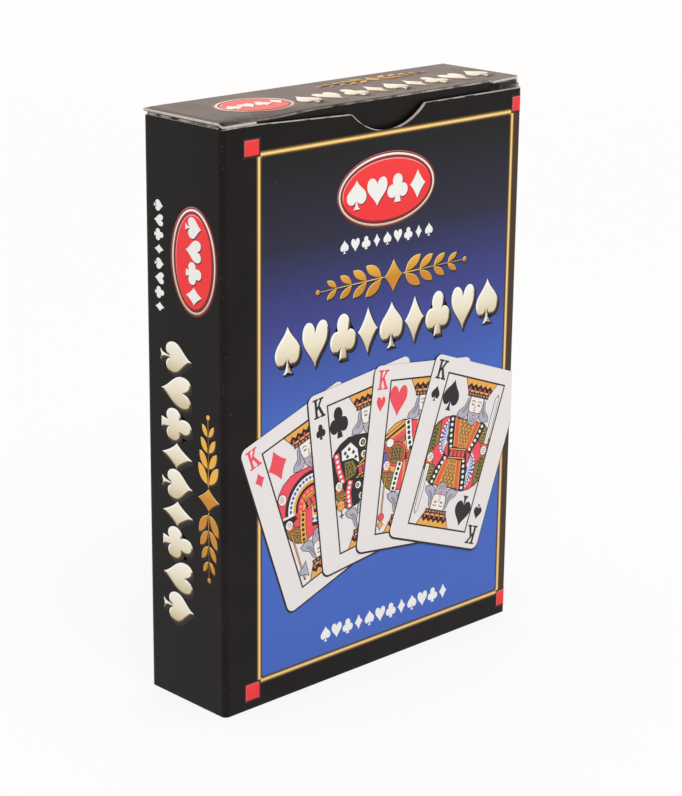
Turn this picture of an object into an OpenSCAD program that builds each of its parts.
// Playing card deck in its folded tuck box.
// Millimetres, +Z up, the front of the box faces -Y.
// The origin is the middle of the box's underside.

/* [Cards] */
// Width of one card
card_w = 63; // [50:0.5:80]
// Height of one card
card_h = 88; // [70:0.5:120]
// Thickness of one card
card_t = 0.27; // [0.24:0.01:0.34]
// Radius of a card's corners
card_corner = 3.2; // [2:0.1:5]
// Air between one card and the next
card_air = 0.005; // [0:0.001:0.02]

/* [Board] */
// Thickness of the folded board
board_t = 0.45; // [0.35:0.01:0.6]
// Outer radius of the four upright creases
crease_r = 0.9; // [0.7:0.05:1.5]
// Running gap at a crease that folds
crease_gap = 0.05; // [0.03:0.01:0.15]

/* [Fit of the deck] */
// Play beside the deck, left and right
side_play = 0.25; // [0.2:0.05:1]
// Play between the deck and the back panel
back_play = 0.45; // [0.3:0.05:1]
// Play between the deck and the tongue's lower edge
tongue_back_play = 0.3; // [0.2:0.05:0.8]
// Play between the tongue's lower edge and the front panel
tongue_tip_play = 1.15; // [0.9:0.05:2]
// Play between the tongue's crease and the front panel
tongue_crease_play = 0.3; // [0.2:0.05:0.6]
// Room between the top of the deck and the closed lid
head_room = 4.5; // [3:0.1:6]

/* [Mouth] */
// Gap between the front panel's top edge and the closed lid
mouth_gap = 1.25; // [0.3:0.05:1.6]
// How far that edge rises from the notch to the lid's left shoulder
mouth_rise = 0.75; // [0.1:0.05:0.9]
// Width of the thumb notch at the front panel's top edge
notch_w = 16; // [12:0.2:24]
// Depth of the thumb notch
notch_depth = 3.3; // [3:0.1:6]
// Distance of the notch's middle to the right of the panel's
notch_shift = 1.7; // [-8:0.1:8]
// Radius of the notch's two shoulders
notch_round = 0.8; // [0.4:0.1:1.6]

/* [Lid and tongue] */
// Width of the lid's shoulder beside each end of the tongue
shoulder_w = 6.8; // [4:0.1:10]
// Radius of a shoulder's outer corner
shoulder_round = 1; // [0.4:0.1:1.5]
// Width of the slit between a shoulder and the tongue
slit_w = 0.4; // [0.2:0.05:0.8]
// How far the lid stays back from the outside of the box
lid_inset = 0.15; // [0.05:0.05:0.4]
// Length of the tongue below the lid
tongue_len = 10.3; // [7:0.1:11]
// Radius of the tongue's lower corners
tongue_round = 6; // [3:0.5:9]

/* [Dust flaps] */
// Length of a dust flap from its crease
flap_len = 10; // [7:0.5:12]
// Gap between a dust flap and the closed lid
flap_gap = 0.15; // [0.1:0.05:0.4]
// Angle of the cut beside the lid's crease
flap_back_cut = 36; // [34:1:42]
// Angle of the cut beside the tongue
flap_front_cut = 20; // [18:1:30]
// Distance from a flap's root to the front and back panels
flap_end_play = 0.7; // [0.5:0.1:1.5]
// Radius of a flap's free corners
flap_round = 1.6; // [0.5:0.1:2]

/* [Base and seam] */
// Length of the base's inner flaps
base_flap_len = 14; // [8:1:24]
// Play around the base's inner flaps
base_flap_play = 0.3; // [0.2:0.05:0.8]
// Width of the glued seam tab inside the right side
seam_tab_w = 13; // [8:0.5:14]

/* [Hidden] */
$fn = 48;
SUITS = ["spades", "hearts", "clubs", "diamonds"];
RANKS = ["ace", "two", "three", "four", "five", "six", "seven", "eight", "nine", "ten", "jack", "queen", "king"];
CARDS = concat([for (suit = SUITS) for (rank = RANKS) str(rank, "_of_", suit)], ["joker_red", "joker_black"]);

board_color = [0.13, 0.12, 0.12];
panel_color = [0.20, 0.26, 0.45];
card_color = [0.95, 0.94, 0.90];
cut_over = 1;

// The deck
card_pitch = card_t + card_air;
deck_d = len(CARDS) * card_pitch - card_air;

// The outside of the box
box_w = card_w + 2 * side_play + 3 * board_t;
box_d = deck_d + back_play + tongue_back_play + tongue_tip_play + 3 * board_t;
deck_bottom = 2 * board_t;
deck_top = deck_bottom + card_h;
lid_under = deck_top + head_room;
box_h = lid_under + board_t;
crease_inner_r = crease_r - board_t;

// The deck's place, beside the seam tab on the right
deck_left = -box_w / 2 + board_t + side_play;
back_inner = box_d / 2 - board_t;
front_inner = -box_d / 2 + board_t;
deck_front = back_inner - back_play - deck_d;

// The crease axes
lid_axis_y = box_d / 2 - board_t / 2;
lid_axis_z = box_h - board_t / 2;
tongue_axis_y = front_inner + tongue_crease_play + board_t;
tongue_lean = asin((tongue_tip_play - tongue_crease_play) / tongue_len);
flap_axis_x = box_w / 2 - board_t / 2;
flap_axis_z = lid_under - flap_gap - board_t / 2;

// The upper edges of the panels
back_top = lid_under - crease_gap;
front_top = lid_under - mouth_gap;
side_top = flap_axis_z - board_t / 2 - crease_gap;

// The lid's and the tongue's outlines
lid_half_w = box_w / 2 - lid_inset;
lid_front = -box_d / 2 + lid_inset;
lid_middle_front = tongue_axis_y + crease_gap;
shoulder_inner = box_w / 2 - shoulder_w;
shoulder_out = lid_half_w - shoulder_inner;
tongue_half_w = shoulder_inner - slit_w;
tongue_corner = min(tongue_round, tongue_len - board_t);

// The thumb notch, one arc between two rounded shoulders
notch_r = (notch_w * notch_w / 4 + notch_depth * notch_depth) / (2 * notch_depth);
notch_centre_z = front_top - notch_depth + notch_r;
notch_round_z = front_top - notch_round;
notch_rise = notch_centre_z - notch_round_z;
notch_round_x = sqrt(pow(notch_r + notch_round, 2) - notch_rise * notch_rise);
notch_touch_z = notch_round_z + notch_round * notch_rise / (notch_r + notch_round);

// A dust flap's root, and the centres of its two rounded corners
flap_front_y = front_inner + flap_end_play;
flap_back_y = back_inner - flap_end_play;
flap_corner_x = flap_len - flap_round;
flap_front_centre = [
    flap_corner_x, flap_front_y + flap_corner_x * tan(flap_front_cut) + flap_round / cos(flap_front_cut)
];
flap_back_centre = [
    flap_corner_x, flap_back_y - flap_corner_x * tan(flap_back_cut) - flap_round / cos(flap_back_cut)
];

// Rectangle from the origin with four round corners
module round_rect(w, h, r) {
    translate([r, 0]) square([w - 2 * r, h]);
    translate([0, r]) square([w, h - 2 * r]);
    for (x = [r, w - r]) for (y = [r, h - r]) translate([x, y]) circle(r);
}

// Upright slab: a drawing in X and Z, made thick towards +Y from y0
module upright(y0, thickness) {
    translate([0, y0 + thickness, 0]) rotate([90, 0, 0]) linear_extrude(thickness) children();
}

// One card of the squared deck, counted from the front
module card(index) {
    color(card_color)
        translate([deck_left, 0, deck_bottom])
            upright(deck_front + index * card_pitch, card_t) round_rect(card_w, card_h, card_corner);
}

// Outline of the thumb notch in X and Z
module notch_outline() {
    translate([notch_shift, 0]) {
        translate([0, notch_centre_z]) circle(notch_r);
        difference() {
            translate([-notch_round_x, notch_touch_z])
                square([2 * notch_round_x, front_top + cut_over - notch_touch_z]);
            for (side = [-1, 1]) translate([side * notch_round_x, notch_round_z]) circle(notch_round);
        }
    }
}

// What is cut away above the front panel's top edge, in X and Z
module mouth_outline() {
    polygon([
        [-box_w / 2 - cut_over, front_top + mouth_rise],
        [-shoulder_inner, front_top + mouth_rise],
        [notch_shift - notch_round_x, front_top],
        [box_w / 2 + cut_over, front_top],
        [box_w / 2 + cut_over, box_h + cut_over],
        [-box_w / 2 - cut_over, box_h + cut_over]
    ]);
}

// Folded tube of four panels with rounded creases, and the glued seam tab
module carton_sleeve() {
    color(panel_color) {
        difference() {
            translate([-box_w / 2, -box_d / 2, board_t])
                linear_extrude(back_top - board_t) difference() {
                    round_rect(box_w, box_d, crease_r);
                    translate([board_t, board_t])
                        round_rect(box_w - 2 * board_t, box_d - 2 * board_t, crease_inner_r);
                }
            upright(-box_d / 2 - cut_over, crease_r + cut_over) mouth_outline();
            for (side = [-1, 1])
                translate([side * box_w / 2 - crease_r, -box_d / 2 - cut_over, side_top])
                    cube([2 * crease_r, box_d + 2 * cut_over, box_h]);
            upright(-box_d / 2 - cut_over, board_t + 2 * cut_over) notch_outline();
        }
        translate([box_w / 2 - 2 * board_t, back_inner - crease_inner_r - seam_tab_w, 2 * board_t])
            cube([board_t, seam_tab_w, side_top - 2 * board_t - crease_gap]);
    }
}

// Closed bottom: the outer panel, and two inner flaps that the deck stands on
module carton_base() {
    color(board_color) {
        translate([-box_w / 2, -box_d / 2, 0]) linear_extrude(board_t) round_rect(box_w, box_d, crease_r);
        for (side = [0, 1]) mirror([side, 0, 0])
            translate([-box_w / 2 + board_t + base_flap_play, front_inner + base_flap_play, board_t])
                linear_extrude(board_t)
                    round_rect(base_flap_len, box_d - 2 * board_t - 2 * base_flap_play, crease_inner_r);
    }
}

// Outline of a lid shoulder from its inner front corner, round at its outer one
module shoulder_outline() {
    intersection() {
        translate([-shoulder_w, 0]) round_rect(shoulder_w + shoulder_out, 2 * shoulder_w, shoulder_round);
        square([shoulder_out, lid_middle_front - lid_front]);
    }
}

// Lid, with a round edge at its back crease and a shoulder at each end of its front edge
module lid_panel() {
    color(board_color) {
        translate([0, lid_axis_y, lid_axis_z]) rotate([0, 90, 0])
            cylinder(h = 2 * lid_half_w, r = board_t / 2, center = true);
        translate([0, 0, lid_under]) linear_extrude(board_t) {
            translate([-lid_half_w, lid_middle_front])
                square([2 * lid_half_w, lid_axis_y - lid_middle_front]);
            for (side = [0, 1]) mirror([side, 0]) translate([shoulder_inner, lid_front]) shoulder_outline();
        }
    }
}

// Tongue that tucks behind the front panel, leaning in, with a round edge about its crease axis
module tuck_tongue() {
    color(board_color) translate([0, tongue_axis_y, lid_under]) {
        rotate([tongue_lean, 0, 0]) upright(-board_t, board_t) translate([-tongue_half_w, -tongue_len]) intersection() {
            round_rect(2 * tongue_half_w, tongue_len + tongue_corner, tongue_corner);
            square([2 * tongue_half_w, tongue_len]);
        }
        intersection() {
            rotate([0, 90, 0]) cylinder(h = 2 * tongue_half_w, r = board_t, center = true);
            translate([-tongue_half_w, -board_t, -board_t]) cube([2 * tongue_half_w, board_t, 2 * board_t]);
        }
    }
}

// Outline of a dust flap: X runs in from the crease, Y runs along it
module flap_outline() {
    polygon([
        [0, flap_front_y],
        flap_front_centre + flap_round * [sin(flap_front_cut), -cos(flap_front_cut)],
        flap_front_centre + [flap_round, 0],
        flap_back_centre + [flap_round, 0],
        flap_back_centre + flap_round * [sin(flap_back_cut), cos(flap_back_cut)],
        [0, flap_back_y]
    ]);
    translate(flap_front_centre) circle(flap_round);
    translate(flap_back_centre) circle(flap_round);
}

// Dust flap of the left side, with a round edge on its crease axis
module dust_flap() {
    translate([-flap_axis_x, 0, flap_axis_z]) {
        translate([0, flap_front_y, 0]) rotate([-90, 0, 0])
            cylinder(h = flap_back_y - flap_front_y, r = board_t / 2);
        translate([0, 0, -board_t / 2]) linear_extrude(board_t) flap_outline();
    }
}

module dust_flap_left() {
    color(board_color) dust_flap();
}

module dust_flap_right() {
    color(board_color) mirror([1, 0, 0]) dust_flap();
}

carton_sleeve();
carton_base();
lid_panel();
tuck_tongue();
dust_flap_left();
dust_flap_right();
for (index = [0:len(CARDS) - 1]) {
    card(index);
}
